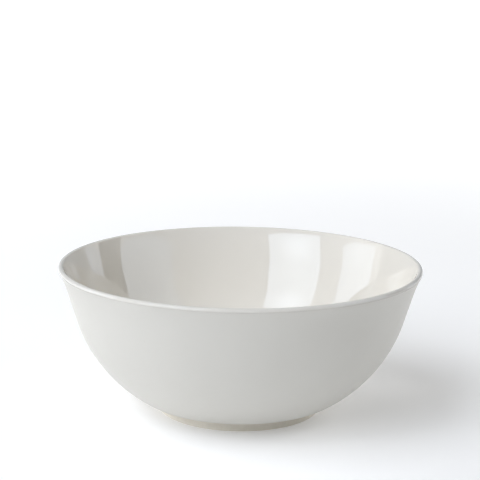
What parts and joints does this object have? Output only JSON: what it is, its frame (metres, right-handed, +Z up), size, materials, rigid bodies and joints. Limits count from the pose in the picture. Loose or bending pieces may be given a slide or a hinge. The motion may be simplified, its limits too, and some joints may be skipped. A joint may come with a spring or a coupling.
{
  "type": "serving bowl",
  "caption": "Round porcelain serving bowl with a flared lip and a low foot ring, matt glaze outside, gloss glaze inside and over the lip.",
  "frame": {"origin": "centre of the foot ring's resting face, on the table", "axes": "+Z up along the bowl's axis of revolution; X and Y are any two level directions"},
  "size_m": [0.24, 0.24, 0.0985],
  "materials": {
    "porcelain": "matte",
    "bare_porcelain": "matte",
    "gloss_glaze": "gloss",
    "matt_glaze": "satin"
  },
  "bodies": {
    "root": {"upper_wall": "porcelain", "belly_wall": "porcelain", "base_wall": "porcelain", "bowl_floor": "porcelain", "foot_ring": "bare_porcelain", "inside_glaze": "gloss_glaze", "lip_glaze": "gloss_glaze", "outside_glaze": "matt_glaze", "recess_glaze": "matt_glaze"}
  },
  "joints": []
}
